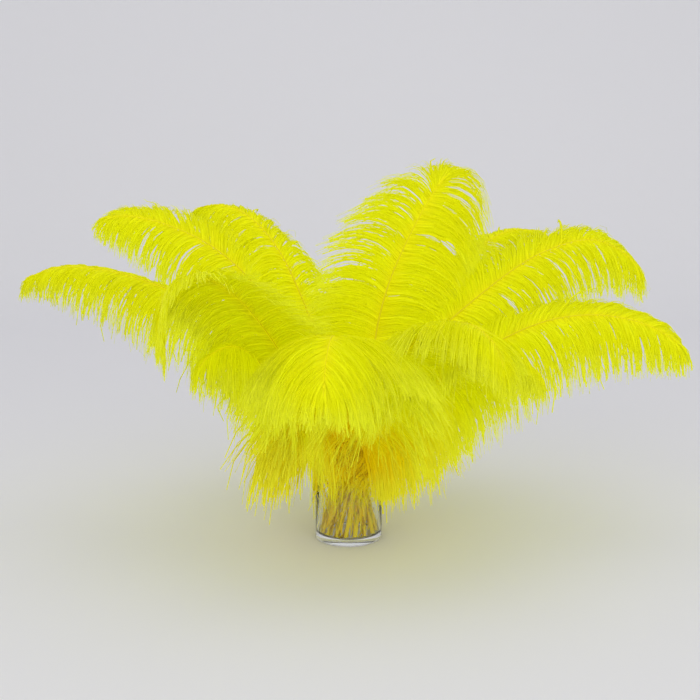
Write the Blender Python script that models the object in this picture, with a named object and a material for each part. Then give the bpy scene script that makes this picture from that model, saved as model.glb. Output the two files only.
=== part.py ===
"""A bunch of fifteen dyed ostrich plumes standing in a clear glass cylinder vase.

Metres, +Z up.  The origin is the centre of the vase's underside.  A plume's heading is the way
it leans out of the vase, counted anticlockwise from +X, and its right is the right hand of
someone who looks along that heading.
"""
import math
from collections import namedtuple

import bmesh
import bpy
from mathutils import Quaternion, Vector
from mathutils.bvhtree import BVHTree

MM = 0.001
UP = Vector((0.0, 0.0, 1.0))
DOWN = -UP

# The vase, a straight cylinder of clear glass with a thick floor
VASE_HEIGHT = 0.120
VASE_RADIUS = 0.050
VASE_WALL = 0.0035
VASE_FLOOR = 0.010
VASE_EDGE = 0.0015
VASE_SIDES = 40

# The bare quills, which cross in a spiral at the vase's mouth and stand apart on its floor.
# STEM_RINGS: distances from a quill's foot, the last where its vane starts
WAIST_HEIGHT = 0.115
WAIST_RADIUS = 0.020
STEM_LEAN = 0.34
FOOT_HEIGHT = 0.0122
QUILL_HEIGHT = 0.145
STEM_RINGS = (0.0, 0.113, 0.133, 0.152)

# A plume's shaft, by the share of its length from foot to tip
SHAFT_SHARES = (0.0, 0.22, 0.60, 0.85, 1.0)
SHAFT_RADII = (0.0029, 0.0026, 0.0017, 0.0010, 0.0006)
VANE_END = 0.985
LINE_SAMPLES = 241

# Corners of the shaft's six-sided ring, across to the right and up, in shares of its radius
RING_CORNERS = ((0.0, 1.0), (0.87, 0.5), (0.87, -0.5), (0.0, -1.0), (-0.87, -0.5), (-0.87, 0.5))
TOP, RIGHT_TOP, RIGHT_LOW, BOTTOM, LEFT_LOW, LEFT_TOP = range(6)

# A plume's vane, cut into locks of barbs on each side of the shaft
LOCKS_A_SIDE = 20
LOCK_STATIONS = (0.30, 0.62)
LOCK_HALF_THICKNESS = (0.0005, 0.0004)
VANE_SHARES = (0.0, 0.12, 0.30)
VANE_GROWTH = (0.75, 0.95, 1.0)
VANE_TAPER_POWER = 2.8
BARB_SHARES = (0.0, 0.3, 0.6, 0.9, 1.0)
BARB_ANGLES = (80.0, 64.0, 56.0, 46.0, 8.0)
STILL_SHARE_OF_BEND = 0.35
MOST_OF_WAY_DOWN = 0.96
MIDDLE_BEND = 0.6
END_BEND = 1.2

# Clear space kept between plumes and round bare shafts, and the lowest that a lock hangs
CLEARANCE = 0.0004
SHAFT_CLEARANCE = 0.0020
LOWEST_LOCK = 0.008
TRIM_STEP = 0.86
SHORTEST_LOCK = 0.02
TRIM_ROUNDS = 40

PLUME_ROUGHNESS = 0.8
GLASS_ROUGHNESS = 0.03

# stem: the heading of the bare quill, at least 20 degrees from its neighbours'.  barb: length of
# the longest barbs in mm.  roll and bend: degrees at the vane's foot and at its tip.  tip: share
# of the barb length left at the tip.  right: length of the barbs on the right of the heading,
# as a share of those on the left.  line: the shaft above the waist, as (reach along the heading,
# height above the origin, distance to the right) in mm.
Plume = namedtuple("Plume", "name heading stem roll barb bend tip right colour line")

PLUMES = (
    Plume("plume_front", 265, 265, (0, 0), 205, (85, 90), 0.20, 1.0, (0.86, 0.88, 0.02),
          ((60, 210, -3), (105, 285, -8), (150, 332, -1), (200, 350, 5), (245, 327, 8),
           (270, 285, 9))),
    Plume("plume_left_front", 214, 222, (-45, -20), 150, (85, 75), 0.50, 1.0, (0.80, 0.80, 0.01),
          ((75, 240, 20), (125, 320, 15), (195, 395, 6), (250, 422, 2), (288, 413, 2),
           (303, 385, 2), (302, 356, 2))),
    Plume("plume_right_front", 312, 308, (10, 20), 150, (95, 85), 0.40, 1.0, (0.88, 0.90, 0.03),
          ((65, 220, 15), (125, 305, 8), (195, 358, 2), (250, 362, -2), (285, 342, -4),
           (303, 315, -4))),
    Plume("plume_top", 50, 54, (-45, -40), 152, (78, 95), 0.62, 1.42, (0.90, 0.90, 0.01),
          ((45, 220, 8), (70, 300, -5), (100, 380, -2), (165, 475, 6), (218, 530, 12))),
    Plume("plume_left", 181, 181, (0, 10), 175, (95, 72), 0.26, 1.0, (0.86, 0.88, 0.02),
          ((110, 255, 20), (200, 341, 18), (290, 387, 15), (364, 408, 12), (425, 411, 6),
           (470, 397, 0))),
    Plume("plume_left_high", 163, 161, (25, 42), 152, (90, 65), 0.32, 1.0, (0.86, 0.87, 0.02),
          ((75, 250, 20), (140, 360, 18), (215, 428, 14), (290, 462, 6), (345, 473, 0),
           (388, 470, -6))),
    Plume("plume_right", 356, 354, (-35, -40), 155, (95, 70), 0.36, 1.0, (0.88, 0.89, 0.02),
          ((74, 190, 20), (152, 262, 8), (271, 330, 3), (335, 345, 2), (392, 343, 1),
           (445, 327, 0), (485, 301, 0))),
    Plume("plume_right_high", 18, 14, (-35, -40), 158, (90, 75), 0.45, 1.0, (0.88, 0.88, 0.02),
          ((64, 214, 13), (118, 284, 0), (195, 345, -8), (305, 414, -8), (390, 434, -4),
           (440, 416, 0), (470, 390, 6))),
    Plume("plume_left_back", 140, 140, (15, 12), 132, (95, 85), 0.32, 0.9, (0.86, 0.86, 0.01),
          ((60, 250, 20), (105, 352, 14), (150, 428, 6), (200, 473, -6), (245, 485, -20),
           (285, 478, -32))),
    Plume("plume_right_back", 37, 34, (-20, -15), 130, (90, 80), 0.32, 1.0, (0.86, 0.86, 0.01),
          ((50, 220, 12), (108, 290, -2), (180, 345, -10), (260, 410, -12), (320, 436, -10),
           (385, 434, 6))),
    Plume("plume_right_low", 333, 331, (25, 25), 180, (95, 80), 0.26, 1.0, (0.80, 0.80, 0.01),
          ((55, 180, 15), (90, 215, 8), (155, 268, 3), (220, 308, 0), (270, 303, 0),
           (300, 283, 0))),
    Plume("plume_left_low", 203, 201, (0, 0), 185, (100, 85), 0.28, 1.0, (0.80, 0.80, 0.01),
          ((55, 190, 27), (82, 231, 21), (130, 274, 20), (176, 308, 4), (212, 300, 0),
           (232, 280, 0))),
    Plume("plume_back_left", 118, 118, (0, 0), 150, (95, 80), 0.36, 1.0, (0.84, 0.84, 0.01),
          ((60, 210, 20), (120, 290, 16), (200, 340, 8), (285, 345, 2), (345, 310, 0),
           (370, 270, 0))),
    Plume("plume_back_right", 65, 74, (0, 0), 150, (95, 80), 0.36, 1.0, (0.84, 0.84, 0.01),
          ((60, 210, 20), (120, 280, 16), (200, 325, 8), (285, 330, 2), (345, 300, 0),
           (370, 260, 0))),
    Plume("plume_back", 90, 94, (0, 0), 150, (95, 80), 0.36, 1.0, (0.84, 0.84, 0.01),
          ((60, 210, 20), (120, 284, 10), (200, 340, 12), (285, 343, 4), (345, 310, 0),
           (370, 270, 0))),
)


def read_off(x, stations, values):
    """Linear reading of values at x, level beyond both ends."""
    if x <= stations[0]:
        return values[0]
    for low, high, a, b in zip(stations, stations[1:], values, values[1:]):
        if x <= high:
            return a + (b - a) * (x - low) / (high - low)
    return values[-1]


def heading_axes(degrees):
    """Unit vectors along a heading and to its right."""
    angle = math.radians(degrees)
    along = Vector((math.cos(angle), math.sin(angle), 0.0))
    right = Vector((math.sin(angle), -math.cos(angle), 0.0))
    return along, right


def knots_between(points):
    """Centripetal spacing of a curve's points: gaps of the square root of their distance."""
    knots = [0.0]
    for a, b in zip(points, points[1:]):
        knots.append(knots[-1] + math.sqrt((b - a).length))
    return knots


def smooth_line(points, steps=60):
    """Catmull-Rom curve through the points, read at LINE_SAMPLES places evenly along it."""
    ends = [2 * points[0] - points[1]], [2 * points[-1] - points[-2]]
    pts = ends[0] + list(points) + ends[1]
    knots = knots_between(pts)
    curve = [points[0].copy()]
    for i in range(1, len(pts) - 2):
        k0, k1, k2, k3 = knots[i - 1:i + 3]
        p0, p1, p2, p3 = pts[i - 1:i + 3]
        for step in range(1, steps + 1):
            k = k1 + (k2 - k1) * step / steps
            a1 = p0.lerp(p1, (k - k0) / (k1 - k0))
            a2 = p1.lerp(p2, (k - k1) / (k2 - k1))
            a3 = p2.lerp(p3, (k - k2) / (k3 - k2))
            b1 = a1.lerp(a2, (k - k0) / (k2 - k0))
            b2 = a2.lerp(a3, (k - k1) / (k3 - k1))
            curve.append(b1.lerp(b2, (k - k1) / (k2 - k1)))
    lengths = [0.0]
    for a, b in zip(curve, curve[1:]):
        lengths.append(lengths[-1] + (b - a).length)
    line = []
    place = 0
    for i in range(LINE_SAMPLES):
        want = lengths[-1] * i / (LINE_SAMPLES - 1)
        while place < len(curve) - 2 and lengths[place + 1] < want:
            place += 1
        part = (want - lengths[place]) / (lengths[place + 1] - lengths[place])
        line.append(curve[place].lerp(curve[place + 1], min(part, 1.0)))
    return line


class Shaft:
    """The middle line of one plume: a straight quill, then its free arch."""

    def __init__(self, plume):
        self.plume = plume
        along, right = heading_axes(plume.stem)
        points = []
        for height in (FOOT_HEIGHT, (FOOT_HEIGHT + WAIST_HEIGHT) / 2, WAIST_HEIGHT, QUILL_HEIGHT):
            reach = (height - WAIST_HEIGHT) * STEM_LEAN
            points.append(along * reach + right * WAIST_RADIUS + UP * height)
        along, right = heading_axes(plume.heading)
        for reach, height, side in plume.line:
            points.append((along * reach + UP * height + right * side) * MM)
        self.line = smooth_line(points)
        self.length = sum((b - a).length for a, b in zip(self.line, self.line[1:]))
        self.vane_start = STEM_RINGS[-1] / self.length

    def vane_share(self, step):
        """Share of the length at a step of the vane, counted in locks from its start."""
        return self.vane_start + (VANE_END - self.vane_start) * step / LOCKS_A_SIDE

    def radius(self, share):
        """Radius of the shaft at a share of its length."""
        return read_off(share, SHAFT_SHARES, SHAFT_RADII)

    def frame(self, share):
        """Place, direction, right and top at a share of the length."""
        spot = min(max(share, 0.0), 1.0) * (len(self.line) - 1)
        i = min(int(spot), len(self.line) - 2)
        place = self.line[i].lerp(self.line[i + 1], spot - i)
        before = self.line[max(i - 1, 0)]
        after = self.line[min(i + 2, len(self.line) - 1)]
        direction = (after - before).normalized()
        right = heading_axes(self.plume.heading)[1]
        right = (right - direction * right.dot(direction)).normalized()
        roll = self.plume.roll[0] + (self.plume.roll[1] - self.plume.roll[0]) * share
        right = Quaternion(direction, -math.radians(roll)) @ right
        return place, direction, right, right.cross(direction)


def sagging(direction, bend):
    """The direction after a barb has sagged towards straight down by up to bend radians."""
    way_down = direction.angle(DOWN)
    turn = bend * (STILL_SHARE_OF_BEND + (1 - STILL_SHARE_OF_BEND) * math.sin(way_down))
    turn = min(turn, MOST_OF_WAY_DOWN * way_down)
    return Quaternion(direction.cross(DOWN).normalized(), turn) @ direction


class Barb:
    """The middle line of a lock: it leaves the shaft at a slant and sags to its tip."""

    def __init__(self, shaft, step, side):
        plume = shaft.plume
        share = shaft.vane_share(step)
        place, direction, right, self.top = shaft.frame(share)
        self.root = place + right * side * RING_CORNERS[RIGHT_TOP][0] * shaft.radius(share)
        k = step / LOCKS_A_SIDE
        slant = math.radians(read_off(k, BARB_SHARES, BARB_ANGLES))
        bend = math.radians(plume.bend[0] + (plume.bend[1] - plume.bend[0]) * k)
        taper = 1 - (1 - plume.tip) * k ** VANE_TAPER_POWER
        if side > 0:
            taper *= plume.right
        self.length = plume.barb * MM * read_off(k, VANE_SHARES, VANE_GROWTH) * taper
        start = direction * math.cos(slant) + right * side * math.sin(slant)
        self.legs = (start, sagging(start, bend * MIDDLE_BEND), sagging(start, bend * END_BEND))

    def point(self, t):
        """The place at a share t of the barb, on a bow of three equal legs."""
        start, middle, end = self.legs
        bow = start * (3 * t - 3 * t * t + t ** 3) + middle * (3 * t * t - 2 * t ** 3)
        return self.root + (bow + end * t ** 3) * (self.length / 3)

    def outward(self, t):
        """The lock's top face at t: the shaft's top, turned as the barb has turned."""
        start, middle, end = self.legs
        now = start * (1 - t) ** 2 + middle * 2 * t * (1 - t) + end * t * t
        return start.rotation_difference(now) @ self.top


class Solid:
    """Points and faces of one closed piece; a tag says which lock a face belongs to."""

    def __init__(self):
        self.points = []
        self.faces = []
        self.tags = []

    def add_point(self, point):
        self.points.append(point)
        return len(self.points) - 1

    def add_face(self, corners, tag=None):
        self.faces.append(tuple(corners))
        self.tags.append(tag)

    def band(self, ring_a, ring_b):
        """Quads between two closed rings of equal count."""
        count = len(ring_a)
        for i in range(count):
            j = (i + 1) % count
            self.add_face((ring_a[i], ring_a[j], ring_b[j], ring_b[i]))

    def fan(self, ring, centre):
        """Triangles from a ring to its centre."""
        for i, a in enumerate(ring):
            self.add_face((a, ring[(i + 1) % len(ring)], centre))


def shaft_ring(solid, shaft, share, corners, extra=0.0):
    """Adds the named corners of the shaft's ring at a share of its length."""
    place, _, right, top = shaft.frame(share)
    radius = shaft.radius(share) + extra
    ring = {}
    for corner in corners:
        across, up = RING_CORNERS[corner]
        ring[corner] = solid.add_point(place + (right * across + top * up) * radius)
    return ring


def add_quill(solid, shaft):
    """The bare quill from its foot to the vane, and the ring where the vane starts."""
    rings = []
    for distance in STEM_RINGS:
        ring = shaft_ring(solid, shaft, distance / shaft.length, range(6))
        rings.append([ring[corner] for corner in range(6)])
    foot = solid.add_point(shaft.line[0].copy())
    solid.fan(rings[0][::-1], foot)
    for low, high in zip(rings, rings[1:]):
        solid.band(low, high)
    return rings[-1]


def add_shaft(solid, shaft, first):
    """The shaft between the vane's two sides, flat above and below, closed at its tip."""
    sides = (RIGHT_TOP, RIGHT_LOW, LEFT_LOW, LEFT_TOP)
    rings = [{corner: first[corner] for corner in range(6)}]
    for step in range(1, LOCKS_A_SIDE + 1):
        rings.append(shaft_ring(solid, shaft, shaft.vane_share(step), sides))
    low, high = rings[0], rings[1]
    solid.add_face((low[LEFT_TOP], low[TOP], high[LEFT_TOP]))
    solid.add_face((low[TOP], low[RIGHT_TOP], high[RIGHT_TOP]))
    solid.add_face((low[TOP], high[RIGHT_TOP], high[LEFT_TOP]))
    solid.add_face((low[RIGHT_LOW], low[BOTTOM], high[RIGHT_LOW]))
    solid.add_face((low[BOTTOM], low[LEFT_LOW], high[LEFT_LOW]))
    solid.add_face((low[BOTTOM], high[LEFT_LOW], high[RIGHT_LOW]))
    for low, high in zip(rings[1:], rings[2:]):
        solid.add_face((low[LEFT_TOP], low[RIGHT_TOP], high[RIGHT_TOP], high[LEFT_TOP]))
        solid.add_face((low[RIGHT_LOW], low[LEFT_LOW], high[LEFT_LOW], high[RIGHT_LOW]))
    last = rings[-1]
    tip = solid.add_point(shaft.line[-1].copy())
    loop = [last[corner] for corner in (LEFT_TOP, RIGHT_TOP, RIGHT_LOW, LEFT_LOW)]
    for a, b in zip(loop, loop[1:] + loop[:1]):
        solid.add_face((a, b, tip))
    return rings


def lock_edge(solid, barb, reach, margin):
    """Top and bottom points of the line between two locks, out to where their teeth part."""
    edge = []
    for t, half in zip(LOCK_STATIONS, LOCK_HALF_THICKNESS):
        middle = barb.point(t * reach)
        lift = barb.outward(t * reach) * (half + margin)
        edge.append((solid.add_point(middle + lift), solid.add_point(middle - lift)))
    return edge


def add_strip(solid, near, far, tag):
    """Top and bottom of the lock between two edges, each a list of (top, bottom) points."""
    for (a, a_low), (b, b_low), (c, c_low), (d, d_low) in zip(near, near[1:], far[1:], far):
        solid.add_face((a, b, c), tag)
        solid.add_face((a, c, d), tag)
        solid.add_face((c_low, b_low, a_low), tag)
        solid.add_face((d_low, c_low, a_low), tag)


def add_vane(solid, shaft, rings, side, reaches, margin):
    """One side of the vane: locks that share edges near the shaft and end in teeth."""
    top, low = (RIGHT_TOP, RIGHT_LOW) if side > 0 else (LEFT_TOP, LEFT_LOW)
    edges = []
    for step, ring in enumerate(rings):
        reach = min(reaches[max(step - 1, 0):step + 1])
        outer = lock_edge(solid, Barb(shaft, step, side), reach, margin)
        edges.append([(ring[top], ring[low])] + outer)
    for i, reach in enumerate(reaches):
        near, far = edges[i], edges[i + 1]
        if side < 0:
            near, far = far, near
        tag = (side, i)
        add_strip(solid, near, far, tag)
        tip = solid.add_point(Barb(shaft, i + 0.5, side).point(reach))
        (a, a_low), (b, b_low) = near[-1], far[-1]
        solid.add_face((a, tip, b), tag)
        solid.add_face((b_low, tip, a_low), tag)
        solid.add_face((a_low, tip, a), tag)
        solid.add_face((b, tip, b_low), tag)
    for edge, turned, tag in ((edges[0], side < 0, (side, 0)),
                              (edges[-1], side > 0, (side, LOCKS_A_SIDE - 1))):
        for (a, a_low), (b, b_low) in zip(edge, edge[1:]):
            corners = (a, a_low, b_low, b)
            solid.add_face(corners[::-1] if turned else corners, tag)


def plume_solid(shaft, reaches, margin=0.0):
    """The whole plume as one solid.  reaches holds how much of each lock's barb is kept."""
    solid = Solid()
    rings = add_shaft(solid, shaft, add_quill(solid, shaft))
    for side in (1, -1):
        add_vane(solid, shaft, rings, side, reaches[side], margin)
    return solid


def room_round(shaft):
    """A tube a little fatter than the whole shaft, which other plumes' locks keep clear of."""
    solid = Solid()
    shares = [distance / shaft.length for distance in STEM_RINGS]
    shares += [shaft.vane_share(step) for step in range(1, LOCKS_A_SIDE + 1)] + [1.0]
    rings = []
    for share in shares:
        ring = shaft_ring(solid, shaft, share, range(6), SHAFT_CLEARANCE)
        rings.append([ring[corner] for corner in range(6)])
    for low, high in zip(rings, rings[1:]):
        solid.band(low, high)
    return solid


def tree_of(solids):
    """One search tree over the faces of several solids."""
    points = []
    faces = []
    for solid in solids:
        start = len(points)
        points += solid.points
        faces += [[corner + start for corner in face] for face in solid.faces]
    return BVHTree.FromPolygons(points, faces)


def touching_locks(solid, tree):
    """Tags of the locks that cut the tree, cut another part of the plume or hang too low."""
    own = BVHTree.FromPolygons(solid.points, solid.faces)
    found = {solid.tags[mine] for mine, _ in own.overlap(tree)}
    for a, b in own.overlap(own):
        if a < b and not set(solid.faces[a]) & set(solid.faces[b]):
            found.add(solid.tags[max(a, b)])
    for face, tag in zip(solid.faces, solid.tags):
        if min(solid.points[corner].z for corner in face) < LOWEST_LOCK:
            found.add(tag)
    found.discard(None)
    return found


def fitted_plume(shaft, others):
    """The plume with each lock trimmed back until it is clear of the other solids."""
    reaches = {side: [1.0] * LOCKS_A_SIDE for side in (1, -1)}
    tree = tree_of(others)
    for _ in range(TRIM_ROUNDS):
        tags = touching_locks(plume_solid(shaft, reaches, CLEARANCE), tree)
        if not tags:
            break
        for side, i in tags:
            reaches[side][i] = max(reaches[side][i] * TRIM_STEP, SHORTEST_LOCK)
    return plume_solid(shaft, reaches)


def vase_solid():
    """The vase turned from its half section, with softened rim and foot edges."""
    inner = VASE_RADIUS - VASE_WALL
    section = (
        (VASE_RADIUS - VASE_EDGE, 0.0),
        (VASE_RADIUS, VASE_EDGE),
        (VASE_RADIUS, VASE_HEIGHT - VASE_EDGE),
        (VASE_RADIUS - VASE_WALL / 2, VASE_HEIGHT),
        (inner, VASE_HEIGHT - VASE_EDGE),
        (inner, VASE_FLOOR + VASE_EDGE),
        (inner - VASE_EDGE, VASE_FLOOR),
    )
    solid = Solid()
    rings = []
    for radius, height in section:
        ring = []
        for i in range(VASE_SIDES):
            angle = math.tau * i / VASE_SIDES
            ring.append(solid.add_point(
                Vector((radius * math.cos(angle), radius * math.sin(angle), height))))
        rings.append(ring)
    for low, high in zip(rings, rings[1:]):
        solid.band(low, high)
    solid.fan(rings[0][::-1], solid.add_point(Vector((0.0, 0.0, 0.0))))
    solid.fan(rings[-1], solid.add_point(Vector((0.0, 0.0, VASE_FLOOR))))
    return solid


def finish(name, colour, roughness, transmission=0.0):
    """A material with one plain colour."""
    material = bpy.data.materials.new(name)
    material.use_nodes = True
    shader = material.node_tree.nodes["Principled BSDF"]
    shader.inputs["Base Color"].default_value = (*colour, 1.0)
    shader.inputs["Roughness"].default_value = roughness
    shader.inputs["Transmission Weight"].default_value = transmission
    return material


def add_object(name, solid, material, smooth_angle):
    """Makes the solid an object in the scene."""
    mesh = bpy.data.meshes.new(name)
    mesh.from_pydata([tuple(point) for point in solid.points], [], solid.faces)
    work = bmesh.new()
    work.from_mesh(mesh)
    bmesh.ops.triangulate(work, faces=work.faces[:])
    work.to_mesh(mesh)
    work.free()
    mesh.materials.append(material)
    mesh.shade_smooth()
    mesh.set_sharp_from_angle(angle=math.radians(smooth_angle))
    bpy.context.scene.collection.objects.link(bpy.data.objects.new(name, mesh))


def main():
    """Clears the scene and builds the vase and the plumes."""
    for item in list(bpy.data.objects):
        bpy.data.objects.remove(item, do_unlink=True)
    vase = vase_solid()
    add_object("vase", vase, finish("clear_glass", (0.93, 0.95, 0.94), GLASS_ROUGHNESS, 1.0), 30)
    shafts = {plume.name: Shaft(plume) for plume in PLUMES}
    rooms = {name: room_round(shaft) for name, shaft in shafts.items()}
    done = [vase]
    for plume in PLUMES:
        del rooms[plume.name]
        solid = fitted_plume(shafts[plume.name], done + list(rooms.values()))
        done.append(solid)
        material = finish("dyed_" + plume.name, plume.colour, PLUME_ROUGHNESS)
        add_object(plume.name, solid, material, 50)


main()
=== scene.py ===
"""Dresses a packed bunch of dyed ostrich plumes and the clear glass vase that holds them.

Laid out as a Blender add-on and run as a script.  Metres, +Z up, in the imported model's frame:
the origin is the centre of the vase's underside.  A plume's heading is the way it leans out of
the vase, counted anticlockwise from +X.
"""
import math
import random
from collections import namedtuple

import bmesh
import bpy
from bpy.props import FloatProperty, FloatVectorProperty, IntProperty, PointerProperty
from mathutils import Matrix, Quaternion, Vector


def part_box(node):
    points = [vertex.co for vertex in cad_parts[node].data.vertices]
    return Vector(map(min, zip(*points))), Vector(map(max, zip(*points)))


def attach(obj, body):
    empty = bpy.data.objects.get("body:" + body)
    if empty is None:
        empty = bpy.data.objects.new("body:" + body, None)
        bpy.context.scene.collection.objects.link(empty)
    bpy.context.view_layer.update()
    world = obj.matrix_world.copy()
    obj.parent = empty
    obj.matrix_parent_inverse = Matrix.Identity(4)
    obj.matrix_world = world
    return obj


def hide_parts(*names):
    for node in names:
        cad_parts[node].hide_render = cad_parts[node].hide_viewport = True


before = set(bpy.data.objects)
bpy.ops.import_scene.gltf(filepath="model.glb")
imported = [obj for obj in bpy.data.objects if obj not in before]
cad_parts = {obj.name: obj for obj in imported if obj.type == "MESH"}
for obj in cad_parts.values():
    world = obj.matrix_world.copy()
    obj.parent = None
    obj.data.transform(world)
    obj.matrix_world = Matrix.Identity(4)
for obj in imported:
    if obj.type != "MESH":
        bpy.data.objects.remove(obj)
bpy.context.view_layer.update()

bl_info = {
    "name": "Ostrich Plumes in a Vase",
    "version": (1, 0, 0),
    "blender": (4, 5, 0),
    "location": "View3D > Sidebar > Plumes",
    "description": "Dresses a packed bunch of plumes and its glass vase",
    "category": "Object",
}

MM = 0.001
UP = Vector((0.0, 0.0, 1.0))
DOWN = -UP
BODY = "root"

# The bare quills: each passes the vase's mouth on the right of the axis and leans out along its
# own stem heading, so that together they cross in a spiral and stand apart on the vase's floor
WAIST_HEIGHT = 0.115
WAIST_RADIUS = 0.020
STEM_LEAN = 0.34
FOOT_HEIGHT = 0.0122
QUILL_HEIGHT = 0.145
QUILL_LENGTH = 0.152

# A plume's shaft, by the share of its length from foot to tip
SHAFT_SHARES = (0.0, 0.22, 0.60, 0.85, 1.0)
SHAFT_RADII = (0.0029, 0.0026, 0.0017, 0.0010, 0.0006)
VANE_END = 0.985
CURVE_STEPS = 60
LINE_SAMPLES = 241
SHAFT_RINGS = 90
SHAFT_CORNERS = 10
SHAFT_FLATNESS = 0.86
GROOVE_CORNER = 5
GROOVE_BOTTOM = 0.45  # share of the radius left at the groove under the shaft
SHAFT_RISE = 0.6  # how far the shaft stands above the barbs' roots, as a share of its radius
VANE_SLIMMING = 0.2  # share of its radius that the shaft loses once the vane has begun
SLIMMED_WITHIN = 0.15  # share of the plume's length over which it does

# A plume's vane, by the share of the way from its foot to its tip.  The angles are those between
# barb and shaft, in degrees; a blunt plume's barbs close in at the very tip.
VANE_SHARES = (0.0, 0.12, 0.30)
VANE_GROWTH = (0.75, 0.95, 1.0)
BARB_SHARES = (0.0, 0.3, 0.6, 0.92, 1.0)
BARB_ANGLES = (80.0, 64.0, 56.0, 50.0, 16.0)
BLUNT_ANGLES = (80.0, 66.0, 62.0, 58.0, 4.0)
LEAST_BLUNT = 4.0

# A barb: three legs of equal length, each sagging further towards straight down
LEGS = 3
BARB_SEAT = 0.7  # where it grows, as a share of the shaft's radius
STILL_SHARE_OF_BEND = 0.35
MOST_OF_WAY_DOWN = 0.96
MIDDLE_BEND = 0.6
END_BEND = 1.2
BARB_CORNERS = 3
BARB_FLATNESS = 0.28

# Locks: neighbouring barbs that lie alike and draw together at their tips.  The shares of stray
# say how far a whole lock and each barb in it stray sideways (slant) and off the vane (lift).
LOCK_SIZES = (7, 15)
LOCK_BENDS = (0.95, 1.05)
LOCK_LENGTHS = (0.93, 1.03)
LOCK_PULLS = (0.5, 1.3)
LOCK_SLANT = 0.5
LOCK_LIFT = 0.55
BARB_SLANT = 0.45
BARB_LIFT = 0.6
USUAL_LIFT = 0.03
UNEVEN_SPACING = 0.4
CROWDED_FROM = 0.75  # share of the vane from which barbs stand closer
CROWDING = 0.45
LOOSE_UP_TO = 0.16  # share of the vane up to which barbs stray more
LOOSENESS = 2.2
BROAD_LENGTHS = (0.78, 0.92)
BROAD_DROP = 0.03
BROAD_GIRTHS = (0.8, 1.15)
FINE_GIRTHS = (0.17, 0.36)

# Loose strands: how far they stray, and their bends, lengths and girths beside those of the barbs
FRINGE_STRAY = 0.15
FRINGE_BENDS = (1.1, 1.7)
FRINGE_SHORTEST = 0.8
FRINGE_GIRTHS = (0.35, 1.0)
FRINGE_WILDNESS = (0.0, 0.02)

# Down on the bare quill.  lowest: share of the quill where it starts.  legs: shortest and longest
# third of a strand.  starts and ends: how far its first and last thirds turn away from the quill.
# station: its place on the scale that colours the barbs, below the vane's 0.  glass_top: height
# up to which it stays inside the glass.
Down = namedtuple("Down", "lowest legs starts ends girths wildness station glass_top")
CURLS = Down(0.62, (0.012, 0.034), (0.3, 0.9), (-0.5, 0.3), (0.25, 0.55), (0.01, 0.05),
             -0.4, 0.110)
MATTED = Down(0.03, (0.007, 0.018), (0.04, 0.25), (-0.10, 0.12), (0.45, 1.0), (0.0, 0.014),
              -1.0, 0.118)
CURL_RISES = (-0.6, 0.4)
MATTED_UPWARDS = 0.65  # share of the matted strands that lie up the quill
DOWN_SEAT = 0.8

# How strands waver, and how they keep off the glass and the floor
LONGER_SHARE = 0.35  # part of the length spread by which a barb may be longer
RARITY = 5.0  # the higher, the fewer barbs are unruly
NOISE_SPAN = 90.0  # how far apart the strands read the noise that sways them
SWAY_GROWTH = 1.3
WAVES = 2.6
WILD_PACE = 30.0
SLIM_FROM = 0.4  # share of a barb's length from which it slims
GLASS_GAP = 0.004
INSIDE_GAP = 0.002
RIM_GAP = 0.006  # heights over the rim between which strands stop keeping off the glass
RIM_FADE = 0.065
FLOOR_GAP = 0.006
VASE_FLOOR_GAP = 0.0065  # further gap inside the vase, over its thick floor
TINY = 0.00001  # keeps the sum finite on the axis
SEEDS_A_BUNCH = 100
SEEDS_A_PLUME = 10

# stem: the heading of the bare quill.  roll: degrees by which the vane turns about the shaft, at
# the foot and at the tip.  barb: length of the longest barbs in mm.  bend: degrees by which barbs
# sag at the vane's foot and at its tip.  tip: share of the barb length left at the tip.  blunt:
# the higher, the later the barbs shorten.  right: length of the barbs on the right of the
# heading, as a share of those on the left.  fullness: how many barbs, as a share of the usual.
# line: the shaft above the waist, as (reach along the heading, height above the origin, distance
# to the right) in mm.
Plume = namedtuple("Plume", "name heading stem roll barb bend tip blunt right fullness line")

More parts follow.
